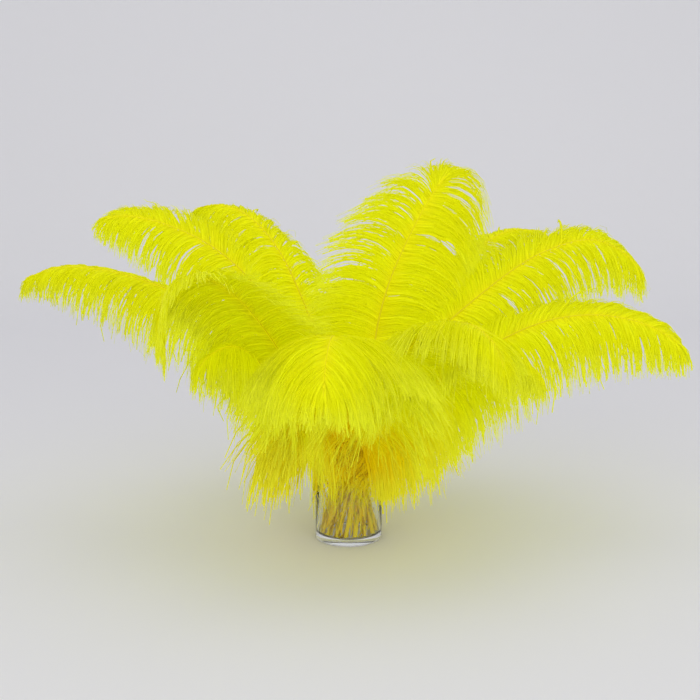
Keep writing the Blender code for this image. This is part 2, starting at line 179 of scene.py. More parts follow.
PLUMES = (
    Plume("plume_front", 265, 265, (0, 0), 205, (85, 70), 0.20, 6.0, 1.0, 1.30,
          ((60, 210, -3), (105, 285, -8), (150, 332, -1), (200, 350, 5), (245, 327, 8),
           (270, 285, 9))),
    Plume("plume_left_front", 214, 222, (-45, -20), 120, (66, 72), 0.56, 5.0, 1.25, 1.15,
          ((75, 240, 20), (125, 320, 15), (195, 395, 6), (250, 422, 2), (288, 413, 2),
           (303, 385, 2), (302, 356, 2))),
    Plume("plume_right_front", 312, 308, (10, 20), 150, (82, 70), 0.40, 5.0, 1.0, 1.15,
          ((65, 220, 15), (125, 305, 8), (195, 358, 2), (250, 362, -2), (285, 342, -4),
           (303, 315, -4))),
    Plume("plume_top", 50, 54, (-45, -40), 152, (60, 104), 0.60, 5.0, 1.5, 1.15,
          ((45, 220, 8), (70, 300, -5), (100, 380, -2), (165, 475, 6), (218, 530, 12))),
    Plume("plume_left", 181, 181, (0, 10), 175, (95, 72), 0.26, 2.8, 1.0, 1.0,
          ((110, 255, 20), (200, 341, 18), (290, 387, 15), (364, 408, 12), (425, 411, 6),
           (470, 397, 0))),
    Plume("plume_left_high", 163, 161, (25, 42), 152, (90, 65), 0.32, 2.8, 1.0, 1.0,
          ((75, 250, 20), (140, 360, 18), (215, 428, 14), (290, 462, 6), (345, 473, 0),
           (388, 470, -6))),
    Plume("plume_right", 356, 354, (-35, -40), 155, (95, 70), 0.36, 2.8, 1.0, 1.05,
          ((74, 190, 20), (152, 262, 8), (271, 330, 3), (335, 345, 2), (392, 343, 1),
           (445, 327, 0), (485, 301, 0))),
    Plume("plume_right_high", 18, 14, (-35, -40), 158, (90, 75), 0.45, 2.8, 1.0, 1.05,
          ((64, 214, 13), (118, 284, 0), (195, 345, -8), (305, 414, -8), (390, 434, -4),
           (440, 416, 0), (470, 390, 6))),
    Plume("plume_left_back", 140, 140, (15, 12), 132, (95, 85), 0.32, 2.8, 0.9, 0.95,
          ((60, 250, 20), (105, 352, 14), (150, 428, 6), (200, 473, -6), (245, 485, -20),
           (285, 478, -32))),
    Plume("plume_right_back", 37, 34, (-20, -15), 130, (90, 80), 0.32, 2.8, 1.0, 0.95,
          ((50, 220, 12), (108, 290, -2), (180, 345, -10), (260, 410, -12), (320, 436, -10),
           (385, 434, 6))),
    Plume("plume_right_low", 333, 331, (25, 25), 180, (95, 80), 0.26, 2.8, 1.0, 0.95,
          ((55, 180, 15), (90, 215, 8), (155, 268, 3), (220, 308, 0), (270, 303, 0),
           (300, 283, 0))),
    Plume("plume_left_low", 203, 201, (0, 0), 185, (100, 85), 0.28, 2.8, 1.0, 0.65,
          ((55, 190, 27), (82, 231, 21), (130, 274, 20), (176, 308, 4), (212, 300, 0),
           (232, 280, 0))),
    Plume("plume_back_left", 118, 118, (0, 0), 150, (95, 80), 0.36, 2.8, 1.0, 0.85,
          ((60, 210, 20), (120, 290, 16), (200, 340, 8), (285, 345, 2), (345, 310, 0),
           (370, 270, 0))),
    Plume("plume_back_right", 65, 74, (0, 0), 150, (95, 80), 0.36, 2.8, 1.0, 0.85,
          ((60, 210, 20), (120, 280, 16), (200, 325, 8), (285, 330, 2), (345, 300, 0),
           (370, 260, 0))),
    Plume("plume_back", 90, 94, (0, 0), 150, (95, 80), 0.36, 2.8, 1.0, 0.85,
          ((60, 210, 20), (120, 284, 10), (200, 340, 12), (285, 343, 4), (345, 310, 0),
           (370, 270, 0))),
)

# Loose strands among the barbs: side (1 is right), first and last share of the vane that they
# grow on, how many, and the longest as a share of the barbs beside it.  Every plume has WISPS.
FRINGES = {
    "plume_front": ((1, 0.0, 0.15, 300, 1.35), (-1, 0.0, 0.15, 120, 1.0)),
    "plume_left_low": ((1, 0.0, 0.9, 60, 1.3), (-1, 0.0, 0.9, 60, 1.3)),
    "plume_left_front": ((1, 0.05, 0.6, 60, 1.2),),
}
WISPS = ((1, 0.05, 0.85, 30, 1.12), (-1, 0.05, 0.85, 30, 1.12))

# Sides whose barbs sag less, with the share of the bend that is left
STIFF_SIDES = {("plume_left_front", -1): 0.5, ("plume_right_front", -1): 0.55}

# Paint of the barbs.  A colour's cover is the most that it hides of the shade under it.  Places
# are shares of a barb for its root and tip, and of the vane for the foot.
ROOT_FADE = 7.0  # 1 over the share of a barb that has its root's colour
ROOT_COVER = 0.4
FOOT_END = 0.30
FOOT_COVER = 0.62
# Tips: the barbs' own paler ends, whose colour is whitened further as a painted sheen
TIP_START = 0.45
TIP_AND_SHEEN_COVER = 0.6
FLECK_COVER = 0.12
LIT_BY_TONE = 0.55
LIT_BY_CLOUD = 0.6
LIT_LESS = 0.1
DRAB_TONES = (0.3, 0.6)  # matted strands turn from the barbs' colour to the down's dark colour, painted shade of the bunch's core, here
LIT_THROUGH = 0.5

# Paint of the shafts, by the share of the shaft's length
SHAFT_PAINTED_GLOW = 0.4  # share of the barbs' painted glow
QUILL_ENDS = (0.16, 0.34)
SHAFT_DEEPENS = (0.6, 1.0)
DEEP_COVER = 0.7
STREAK_COVER = 0.35

# The vase's half section.  The hollow under it: shares of the outer radius, and heights
HOLLOW = ((0.0, 0.0012), (0.55, 0.0010), (0.80, 0.0002))
HEEL_RADIUS = 0.003
HEEL_FLAT = 1.6  # inner edge of the flat ring that it stands on, in heel radii from the outside
BOWL_RADIUS = 0.005
BOWL_DIP = (0.0004, 0.0006)  # the floor's dip halfway to the axis and on it
HEEL_STEPS = 6
RIM_STEPS = 9
BOWL_STEPS = 6
VASE_SIDES = 128
SMUDGE_COLOUR = (0.90, 0.92, 0.91, 1.0)
SMUDGE_EDGES = (0.52, 0.72)
SMUDGE_COVER = 0.2

# The studio
FLOOR_FRONT = -4.0
SWEEP_START = 1.6
SWEEP_RADIUS = 0.9
SWEEP_STEPS = 15
PAPER_TOP = 4.5
PAPER_HALF_WIDTH = 5.0
PAPER_SHADE = 0.97
WASH_COVER = 0.5
GRAIN_COVER = 0.2
SKY_COLOUR = (0.985, 0.98, 1.0, 1.0)
SENSOR_WIDTH = 36.0
LAMP_AIM = Vector((0.0, 0.0, 0.3))
Lamp = namedtuple("Lamp", "name place size power colour")
LAMPS = (
    Lamp("key_light", (-0.9, -2.9, 1.8), 2.0, "key_power", (1.0, 0.99, 0.97)),
    Lamp("fill_light", (1.2, -2.6, 0.9), 1.8, "fill_power", (1.0, 1.0, 1.0)),
    Lamp("top_light", (0.2, 0.3, 2.9), 2.4, "top_power", (1.0, 1.0, 1.0)),
)


def read_off(x, stations, values):
    """Linear reading of values at x, level beyond both ends."""
    if x <= stations[0]:
        return values[0]
    for low, high, a, b in zip(stations, stations[1:], values, values[1:]):
        if x <= high:
            return a + (b - a) * (x - low) / (high - low)
    return values[-1]


def heading_axes(degrees):
    """Unit vectors along a heading and to its right."""
    angle = math.radians(degrees)
    along = Vector((math.cos(angle), math.sin(angle), 0.0))
    right = Vector((math.sin(angle), -math.cos(angle), 0.0))
    return along, right


def knots_between(points):
    """Centripetal spacing of a curve's points: gaps of the square root of their distance."""
    knots = [0.0]
    for a, b in zip(points, points[1:]):
        knots.append(knots[-1] + math.sqrt((b - a).length))
    return knots


def smooth_line(points):
    """Catmull-Rom curve through the points, read at evenly spaced places along it."""
    pts = [2 * points[0] - points[1]] + list(points) + [2 * points[-1] - points[-2]]
    knots = knots_between(pts)
    curve = [points[0].copy()]
    for i in range(1, len(pts) - 2):
        k0, k1, k2, k3 = knots[i - 1:i + 3]
        p0, p1, p2, p3 = pts[i - 1:i + 3]
        for step in range(1, CURVE_STEPS + 1):
            k = k1 + (k2 - k1) * step / CURVE_STEPS
            a1 = p0.lerp(p1, (k - k0) / (k1 - k0))
            a2 = p1.lerp(p2, (k - k1) / (k2 - k1))
            a3 = p2.lerp(p3, (k - k2) / (k3 - k2))
            b1 = a1.lerp(a2, (k - k0) / (k2 - k0))
            b2 = a2.lerp(a3, (k - k1) / (k3 - k1))
            curve.append(b1.lerp(b2, (k - k1) / (k2 - k1)))
    lengths = [0.0]
    for a, b in zip(curve, curve[1:]):
        lengths.append(lengths[-1] + (b - a).length)
    line = []
    place = 0
    for i in range(LINE_SAMPLES):
        want = lengths[-1] * i / (LINE_SAMPLES - 1)
        while place < len(curve) - 2 and lengths[place + 1] < want:
            place += 1
        part = (want - lengths[place]) / (lengths[place + 1] - lengths[place])
        line.append(curve[place].lerp(curve[place + 1], min(part, 1.0)))
    return line


class Shaft:
    """The middle line of one plume: a straight quill, then its free arch."""

    def __init__(self, plume):
        self.plume = plume
        along, right = heading_axes(plume.stem)
        points = []
        for height in (FOOT_HEIGHT, (FOOT_HEIGHT + WAIST_HEIGHT) / 2, WAIST_HEIGHT, QUILL_HEIGHT):
            reach = (height - WAIST_HEIGHT) * STEM_LEAN
            points.append(along * reach + right * WAIST_RADIUS + UP * height)
        along, right = heading_axes(plume.heading)
        for reach, height, side in plume.line:
            points.append((along * reach + UP * height + right * side) * MM)
        self.line = smooth_line(points)
        self.length = sum((b - a).length for a, b in zip(self.line, self.line[1:]))
        self.vane_start = QUILL_LENGTH / self.length

    def radius(self, share):
        """Radius of the shaft at a share of its length."""
        return read_off(share, SHAFT_SHARES, SHAFT_RADII)

    def frame(self, share):
        """Place, direction, right and top at a share of the length."""
        spot = min(max(share, 0.0), 1.0) * (len(self.line) - 1)
        i = min(int(spot), len(self.line) - 2)
        place = self.line[i].lerp(self.line[i + 1], spot - i)
        before = self.line[max(i - 1, 0)]
        after = self.line[min(i + 2, len(self.line) - 1)]
        direction = (after - before).normalized()
        right = heading_axes(self.plume.heading)[1]
        right = (right - direction * right.dot(direction)).normalized()
        roll = self.plume.roll[0] + (self.plume.roll[1] - self.plume.roll[0]) * share
        right = Quaternion(direction, -math.radians(roll)) @ right
        return place, direction, right, right.cross(direction)


def sagging(direction, bend):
    """The direction after a barb has sagged towards straight down by up to bend radians."""
    way_down = direction.angle(DOWN)
    turn = bend * (STILL_SHARE_OF_BEND + (1 - STILL_SHARE_OF_BEND) * math.sin(way_down))
    turn = min(turn, MOST_OF_WAY_DOWN * way_down)
    return Quaternion(direction.cross(DOWN).normalized(), turn) @ direction


Barb = namedtuple("Barb", "root start middle end top")


def barb_at(shaft, k, side, slant_more, lift, bend_scale, length_scale):
    """One barb's root, its three legs and its top, at a share k of the vane."""
    plume = shaft.plume
    share = shaft.vane_start + (VANE_END - shaft.vane_start) * k
    place, direction, right, top = shaft.frame(share)
    angles = BLUNT_ANGLES if plume.blunt >= LEAST_BLUNT else BARB_ANGLES
    slant = math.radians(read_off(k, BARB_SHARES, angles)) + slant_more
    out = right * (side * math.cos(lift)) + top * math.sin(lift)
    start = direction * math.cos(slant) + out * math.sin(slant)
    bend = math.radians(plume.bend[0] + (plume.bend[1] - plume.bend[0]) * k) * bend_scale
    bend *= STIFF_SIDES.get((plume.name, side), 1.0)
    taper = 1 - (1 - plume.tip) * k ** plume.blunt
    growth = read_off(k, VANE_SHARES, VANE_GROWTH)
    uneven = plume.right if side > 0 else 1.0
    leg = plume.barb * MM * growth * taper * uneven * length_scale / LEGS
    root = place + out * shaft.radius(share) * BARB_SEAT
    middle = sagging(start, bend * MIDDLE_BEND)
    end = sagging(start, bend * END_BEND)
    return Barb(root, start * leg, middle * leg, end * leg, top)


def is_vector(value):
    """True for a wire that carries a vector, and for three plain numbers."""
    if isinstance(value, Wire):
        return value.socket.type == "VECTOR"
    return isinstance(value, (tuple, Vector))


class Wire:
    """One output socket.  Sums on it add Math nodes, or Vector Math nodes on vectors."""

    def __init__(self, tree, socket):
        self.tree = tree
        self.socket = socket

    def sum(self, operation, left, right):
        """The node for one operation on two wires or numbers."""
        vectors = is_vector(left), is_vector(right)
        if operation == "MULTIPLY" and any(vectors) and not all(vectors):
            vector, number = (left, right) if vectors[0] else (right, left)
            return self.tree.add("ShaderNodeVectorMath", {"operation": "SCALE"},
                                 {0: vector, "Scale": number})
        kind = "ShaderNodeVectorMath" if any(vectors) else "ShaderNodeMath"
        return self.tree.add(kind, {"operation": operation}, {0: left, 1: right})

    def __add__(self, other):
        return self.sum("ADD", self, other)

    def __radd__(self, other):
        return self.sum("ADD", other, self)

    def __sub__(self, other):
        return self.sum("SUBTRACT", self, other)

    def __rsub__(self, other):
        return self.sum("SUBTRACT", other, self)

    def __mul__(self, other):
        return self.sum("MULTIPLY", self, other)

    def __rmul__(self, other):
        return self.sum("MULTIPLY", other, self)

    def __truediv__(self, other):
        return self.sum("DIVIDE", self, other)

    def __rtruediv__(self, other):
        return self.sum("DIVIDE", other, self)

    def __pow__(self, other):
        return self.sum("POWER", self, other)


class Tree:
    """A node tree in the making."""

    def __init__(self, tree):
        self.tree = tree

    def add(self, kind, settings=None, values=None, output=0):
        """Adds a node: its settings first, then its sockets' values or links."""
        node = self.tree.nodes.new(kind)
        for name, value in (settings or {}).items():
            setattr(node, name, value)
        for key, value in (values or {}).items():
            self.feed(node.inputs[key], value)
        return Wire(self, node.outputs[output])

    def feed(self, socket, value):
        """Links a wire to a socket, or sets a plain value on it."""
        if isinstance(value, Wire):
            self.tree.links.new(value.socket, socket)
        else:
            socket.default_value = value

    def mix(self, factor, a, b):
        """A colour between a and b."""
        return self.add("ShaderNodeMix", {"data_type": "RGBA"}, {0: factor, 6: a, 7: b}, 2)

    def clamp(self, value):
        """A number held between 0 and 1."""
        return self.add("ShaderNodeClamp", None, {0: value})

    def smooth_step(self, value, low, high):
        """0 below low, 1 above high and a smooth change between."""
        return self.add("ShaderNodeMapRange", {"interpolation_type": "SMOOTHSTEP"},
                        {0: value, 1: low, 2: high, 3: 0.0, 4: 1.0})


class ShapeTree(Tree):
    """A Geometry Nodes tree with named inputs, made from one mesh."""

    def __init__(self, name):
        super().__init__(bpy.data.node_groups.new(name, "GeometryNodeTree"))
        self.sockets = {}
        self.interface = self.tree.interface
        self.interface.new_socket("Geometry", in_out="INPUT", socket_type="NodeSocketGeometry")
        self.interface.new_socket("Geometry", in_out="OUTPUT", socket_type="NodeSocketGeometry")
        self.inlet = self.tree.nodes.new("NodeGroupInput")
        self.outlet = self.tree.nodes.new("NodeGroupOutput")

    def input(self, name, kind):
        """A named input of the tree, such as a size, a seed or a material."""
        item = self.interface.new_socket(name, in_out="INPUT", socket_type="NodeSocket" + kind)
        self.sockets[name] = item.identifier
        return Wire(self, self.inlet.outputs[name])

    def geometry(self):
        """The mesh that the tree starts from."""
        return Wire(self, self.inlet.outputs["Geometry"])

    def attribute(self, name, kind="FLOAT"):
        """A named attribute, read as a field."""
        return self.add("GeometryNodeInputNamedAttribute", {"data_type": kind}, {"Name": name})

    def store(self, shape, name, value, kind="FLOAT"):
        """Keeps a field as a named attribute of the shape's points."""
        return self.add("GeometryNodeStoreNamedAttribute",
                        {"data_type": kind, "domain": "POINT"},
                        {"Geometry": shape, "Name": name, "Value": value})

    def chance(self, low, high, seed, salt):
        """A random number for each point, or a random vector between two vectors."""
        kind = "FLOAT_VECTOR" if is_vector(low) else "FLOAT"
        first, last, place = (0, 1, 0) if kind == "FLOAT_VECTOR" else (2, 3, 1)
        return self.add("FunctionNodeRandomValue", {"data_type": kind},
                        {first: low, last: high, "Seed": seed + salt}, place)

    def switch(self, test, no, yes, kind):
        """One of two fields or shapes."""
        return self.add("GeometryNodeSwitch", {"input_type": kind}, {0: test, 1: no, 2: yes})

    def compare(self, a, operation, b):
        """A true or false field from two numbers."""
        return self.add("FunctionNodeCompare", {"data_type": "FLOAT", "operation": operation},
                        {0: a, 1: b})

    def finish(self, shape):
        """Sets the tree's result."""
        self.tree.links.new(shape.socket, self.outlet.inputs["Geometry"])
        return self


def tube_along(tree, line, radius, face, profile, tilt=None):
    """A closed tube of a profile along a mesh line, with its top towards face."""
    curve = tree.add("GeometryNodeMeshToCurve", None, {"Mesh": line})
    curve = tree.add("GeometryNodeSetCurveNormal", {"mode": "FREE"},
                     {"Curve": curve, "Normal": face})
    if tilt is not None:
        curve = tree.add("GeometryNodeSetCurveTilt", None, {"Curve": curve, "Tilt": tilt})
    return tree.add("GeometryNodeCurveToMesh", None,
                    {"Curve": curve, "Profile Curve": profile, "Scale": radius,
                     "Fill Caps": True})


def flat_ring(tree, corners, flatness, groove=None):
    """A closed profile of a few corners, flattened across; a groove pushes one corner in."""
    ring = tree.add("GeometryNodeCurvePrimitiveCircle", {"mode": "RADIUS"},
                    {"Resolution": corners, "Radius": 1.0})
    if groove is not None:
        place = tree.add("GeometryNodeInputPosition")
        corner = tree.add("GeometryNodeInputIndex")
        hit = tree.compare(corner, "EQUAL", float(groove))
        moved = tree.switch(hit, place, place * GROOVE_BOTTOM, "VECTOR")
        ring = tree.add("GeometryNodeSetPosition", None, {"Geometry": ring, "Position": moved})
    return tree.add("GeometryNodeTransform", None,
                    {"Geometry": ring, "Scale": (flatness, 1.0, 1.0)})


def plume_tree():
    """Shaft and barbs of one plume, from a mesh that holds its shaft's line and barbs' roots.

    The line is the mesh's edges.  Each loose point is the root of one barb, with its three
    legs, its pull towards the middle of its lock, its face, its girth and its station.
    """
    tree = ShapeTree("plume")
    steps = tree.input("Steps", "Int")
    width = tree.input("Strand Width", "Float")
    slimming = tree.input("Slimming", "Float")
    spread = tree.input("Length Spread", "Float")
    twist = tree.input("Twist", "Float")
    wave = tree.input("Wave", "Float")
    waves = tree.input("Waves", "Float")
    kink = tree.input("Kink", "Float")
    vase_radius = tree.input("Vase Radius", "Float")
    vase_inside = tree.input("Vase Inside", "Float")
    rim_height = tree.input("Rim Height", "Float")
    seed = tree.input("Seed", "Int")
    barb_material = tree.input("Barb Material", "Material")
    shaft_material = tree.input("Shaft Material", "Material")

    split = tree.add("GeometryNodeSeparateGeometry", {"domain": "POINT"},
                     {"Geometry": tree.geometry(), "Selection": tree.attribute("barb", "BOOLEAN")})
    line = Wire(tree, split.socket.node.outputs[1])

    ring = flat_ring(tree, SHAFT_CORNERS, SHAFT_FLATNESS, GROOVE_CORNER)
    shaft = tube_along(tree, line, tree.attribute("girth"),
                       tree.attribute("face", "FLOAT_VECTOR"), ring)
    shaft = tree.add("GeometryNodeSetMaterial", None,
                     {"Geometry": shaft, "Material": shaft_material})

    stretch = tree.chance(1.0 - spread, 1.0 + spread * LONGER_SHARE, seed, 1)
    roots = tree.store(split, "stretch", stretch)
    roots = tree.store(roots, "tone", tree.chance(0.0, 1.0, seed, 2))
    roots = tree.store(roots, "turn", tree.chance(-1.0, 1.0, seed, 3) * twist)
    rough = tree.chance(0.0, 1.0, seed, 4) ** RARITY
    roots = tree.store(roots, "rough", wave + kink * rough + tree.attribute("wild"))
    drift = tree.chance((0.0, 0.0, 0.0), (NOISE_SPAN, NOISE_SPAN, NOISE_SPAN), seed, 5)
    roots = tree.store(roots, "drift", drift, "FLOAT_VECTOR")

    # A straight line of unit height stands on each root and is then laid along its three legs
    strand = tree.add("GeometryNodeMeshLine", {"mode": "OFFSET"},
                      {"Count": steps + 1.0, "Start Location": (0.0, 0.0, 0.0),
                       "Offset": tree.add("ShaderNodeCombineXYZ", None, {"Z": 1.0 / steps})})
    place = tree.add("GeometryNodeInputPosition")
    height = tree.add("ShaderNodeSeparateXYZ", None, {0: place}, 2)
    strand = tree.store(strand, "along", height)
    strands = tree.add("GeometryNodeInstanceOnPoints", None, {"Points": roots, "Instance": strand})
    strands = tree.add("GeometryNodeRealizeInstances", None, {"Geometry": strands})

    t = tree.attribute("along")
    lift = tree.add("ShaderNodeCombineXYZ", None, {"Z": t})
    root = place - lift
    start = tree.attribute("start", "FLOAT_VECTOR")
    end = tree.attribute("end", "FLOAT_VECTOR")
    middle = tree.attribute("middle", "FLOAT_VECTOR")
    square = t * t
    cube = square * t
    path = start * (3.0 * t - 3.0 * square + cube) + middle * (3.0 * square - 2.0 * cube)
    path = (path + end * cube) * tree.attribute("stretch")
    pull = tree.attribute("gather", "FLOAT_VECTOR") * square
    pace = waves * (1.0 + tree.attribute("wild") * WILD_PACE)
    where = tree.attribute("drift", "FLOAT_VECTOR")
    where = where + tree.add("ShaderNodeCombineXYZ", None, {"X": t * pace})
    noise = tree.add("ShaderNodeTexNoise", {"noise_dimensions": "3D"},
                     {"Vector": where, "Scale": 1.0, "Detail": 1.0}, 1)
    sway = (noise - (0.5, 0.5, 0.5)) * (tree.attribute("rough") * t ** SWAY_GROWTH)
    free = root + path + pull + sway

    # Below the rim a strand keeps outside the glass, or inside it where it grows there
    x, y, z = (tree.add("ShaderNodeSeparateXYZ", None, {0: free}, i) for i in range(3))
    reach = tree.add("ShaderNodeMath", {"operation": "SQRT"}, {0: x * x + y * y})
    near_rim = 1.0 - tree.smooth_step(z, rim_height + RIM_GAP, rim_height + RIM_FADE)
    wanted = tree.add("ShaderNodeMath", {"operation": "MAXIMUM"},
                      {0: reach, 1: near_rim * vase_radius})
    held = tree.add("ShaderNodeMath", {"operation": "MINIMUM"}, {0: reach, 1: vase_inside})
    inside = tree.attribute("inside")
    wanted = wanted + (held - wanted) * inside
    scale = wanted / (reach + TINY)
    up = tree.add("ShaderNodeMath", {"operation": "MAXIMUM"},
                  {0: z, 1: FLOOR_GAP + inside * VASE_FLOOR_GAP})
    kept = tree.add("ShaderNodeCombineXYZ", None, {"X": x * scale, "Y": y * scale, "Z": up})
    strands = tree.add("GeometryNodeSetPosition", None, {"Geometry": strands, "Position": kept})

    slim = 1.0 - slimming * tree.smooth_step(t, SLIM_FROM, 1.0)
    barbs = tube_along(tree, strands, tree.attribute("girth") * width * slim,
                       tree.attribute("face", "FLOAT_VECTOR"),
                       flat_ring(tree, BARB_CORNERS, BARB_FLATNESS), tree.attribute("turn"))
    barbs = tree.add("GeometryNodeSetMaterial", None,
                     {"Geometry": barbs, "Material": barb_material})
    join = tree.tree.nodes.new("GeometryNodeJoinGeometry")
    for part in (barbs, shaft):
        tree.tree.links.new(part.socket, join.inputs[0])
    whole = tree.add("GeometryNodeRealizeInstances", None,
                     {"Geometry": Wire(tree, join.outputs[0])})
    return tree.finish(whole)


def run_tree(tree, mesh, name, values):
    """Runs a shape tree on a mesh and returns its result as a plain object."""
    seedling = bpy.data.objects.new(name + "_seed", mesh)
    bpy.context.scene.collection.objects.link(seedling)
    modifier = seedling.modifiers.new("shape", "NODES")
    modifier.node_group = tree.tree
    for label, value in values.items():
        modifier[tree.sockets[label]] = value
    depsgraph = bpy.context.evaluated_depsgraph_get()
    result = bpy.data.meshes.new_from_object(
        seedling.evaluated_get(depsgraph), preserve_all_data_layers=True, depsgraph=depsgraph)
    bpy.data.objects.remove(seedling, do_unlink=True)
    result.name = name
    piece = bpy.data.objects.new(name, result)
    bpy.context.scene.collection.objects.link(piece)
    if not result.polygons:
        raise RuntimeError(f"{name}: the shape tree made no faces")
    return piece


VECTOR_COLUMNS = ("start", "middle", "end", "gather", "face")
NUMBER_COLUMNS = ("girth", "wild", "inside", "station", "barb")


class Roots:
    """Points of a plume's mesh: the shaft's line, then one loose point for each barb."""

    def __init__(self):
        self.points = []
        self.edges = []
        self.columns = {name: [] for name in VECTOR_COLUMNS + NUMBER_COLUMNS}

    def add(self, point, **values):
        """Adds a point; the values that aren't given are 0."""
        self.points.append(point)
        for name, column in self.columns.items():
            if name in VECTOR_COLUMNS:
                column.append(values.get(name, Vector((0.0, 0.0, 0.0))))
            else:
                column.append(values.get(name, 0.0))

    def mesh(self, name):
        """The points as a mesh with their values as attributes."""
        mesh = bpy.data.meshes.new(name)
        mesh.from_pydata([tuple(p) for p in self.points], self.edges, [])
        for label, column in self.columns.items():
            if label in VECTOR_COLUMNS:
                layer = mesh.attributes.new(label, "FLOAT_VECTOR", "POINT")
                layer.data.foreach_set("vector", [x for v in column for x in v])
            elif label == "barb":
                layer = mesh.attributes.new(label, "BOOLEAN", "POINT")
                layer.data.foreach_set("value", [bool(x) for x in column])
            else:
                layer = mesh.attributes.new(label, "FLOAT", "POINT")
                layer.data.foreach_set("value", column)
        return mesh


def add_line(roots, shaft):
    """The shaft's line, ring by ring."""
    for i in range(SHAFT_RINGS + 1):
        share = i / SHAFT_RINGS
        place, _, _, top = shaft.frame(share)
        way = min(max(share - shaft.vane_start, 0.0) / SLIMMED_WITHIN, 1.0)
        slim = 1.0 - VANE_SLIMMING * way
        roots.add(place + top * shaft.radius(share) * SHAFT_RISE, face=top,
                  girth=shaft.radius(share) * slim, station=share)
        if i:
            roots.edges.append((i - 1, i))


def add_barb(roots, barb, station, girth, **others):
    """One barb's root with all that its strand is made from."""
    roots.add(barb.root, start=barb.start, middle=barb.middle, end=barb.end, face=barb.top,
              girth=girth, station=station, barb=1.0, **others)


def tip_of(barb):
    """Where a barb ends before it is ruffled."""
    return barb.root + barb.start + barb.middle + barb.end


def add_vane(roots, shaft, side, settings, luck):
    """Barbs of one side of the vane, broad ones under fine ones, gathered into locks."""
    length = shaft.length * (VANE_END - shaft.vane_start)
    count = length / settings.spacing * shaft.plume.fullness
    k = 0.0
    while k < 1.0:
        size = luck.randint(*LOCK_SIZES)
        crowded = CROWDING * max(0.0, k - CROWDED_FROM) / (1.0 - CROWDED_FROM)
        step = (1.0 - crowded) / count
        middle = min(k + size * step / 2, 1.0)
        looseness = 1.0 + LOOSENESS * max(0.0, LOOSE_UP_TO - middle) / LOOSE_UP_TO
        mood = dict(
            slant_more=luck.gauss(0.0, settings.stray * LOCK_SLANT) * looseness,
            lift=luck.gauss(USUAL_LIFT, settings.stray * LOCK_LIFT) * looseness,
            bend_scale=luck.uniform(*LOCK_BENDS),
            length_scale=luck.uniform(*LOCK_LENGTHS))
        lock_tip = tip_of(barb_at(shaft, middle, side, **mood))
        pull = settings.gather * luck.uniform(*LOCK_PULLS)
        for i in range(size):
            spot = k + (i + luck.uniform(-UNEVEN_SPACING, UNEVEN_SPACING)) * step
            broad = luck.random() < settings.broad_share
            if spot >= 1.0 or spot < 0.0:
                continue
            own = dict(mood)
            own["slant_more"] += luck.gauss(0.0, settings.stray * BARB_SLANT) * looseness
            own["lift"] += luck.gauss(0.0, settings.stray * BARB_LIFT) * looseness
            if broad:
                own["lift"] -= BROAD_DROP
                own["length_scale"] *= luck.uniform(*BROAD_LENGTHS)
            barb = barb_at(shaft, spot, side, **own)
            girth = luck.uniform(*(BROAD_GIRTHS if broad else FINE_GIRTHS))
            add_barb(roots, barb, spot, girth, gather=(lock_tip - tip_of(barb)) * pull)
        k += size * step


def add_fringe(roots, shaft, side, first, last, count, longest, luck):
    """Loose strands that hang from one side of the vane, from its first to its last share."""
    for _ in range(count):
        spot = luck.uniform(first, last)
        barb = barb_at(shaft, spot, side, luck.gauss(0.0, FRINGE_STRAY),
                       luck.gauss(0.0, FRINGE_STRAY), luck.uniform(*FRINGE_BENDS),
                       luck.uniform(FRINGE_SHORTEST, longest))
        add_barb(roots, barb, spot, luck.uniform(*FRINGE_GIRTHS),
                 wild=luck.uniform(*FRINGE_WILDNESS))


def add_down(roots, shaft, settings, luck):
    """Matted down that clings along the bare quill, and curls that hang about its neck."""
    for _ in range(round(settings.down * shaft.plume.fullness)):
        kind = CURLS if luck.random() < settings.curl_share else MATTED
        share = luck.uniform(kind.lowest, 1.0) * shaft.vane_start
        place, direction, right, top = shaft.frame(share)
        angle = luck.uniform(0.0, math.tau)
        out = right * math.cos(angle) + top * math.sin(angle)
        leg = luck.uniform(*kind.legs)
        if kind is CURLS:
            start = (out * luck.uniform(*kind.starts) + UP * luck.uniform(*CURL_RISES)) * leg
            end = (DOWN + out * luck.uniform(*kind.ends)) * leg
        else:
            along = direction if luck.random() < MATTED_UPWARDS else -direction
            start = (along + out * luck.uniform(*kind.starts)) * leg
            end = (along + out * luck.uniform(*kind.ends)) * leg
        root = place + out * shaft.radius(share) * DOWN_SEAT
        barb = Barb(root, start, (start + end) / 2, end, out)
        add_barb(roots, barb, kind.station, luck.uniform(*kind.girths),
                 wild=luck.uniform(*kind.wildness),
                 inside=1.0 if place.z < kind.glass_top else 0.0)


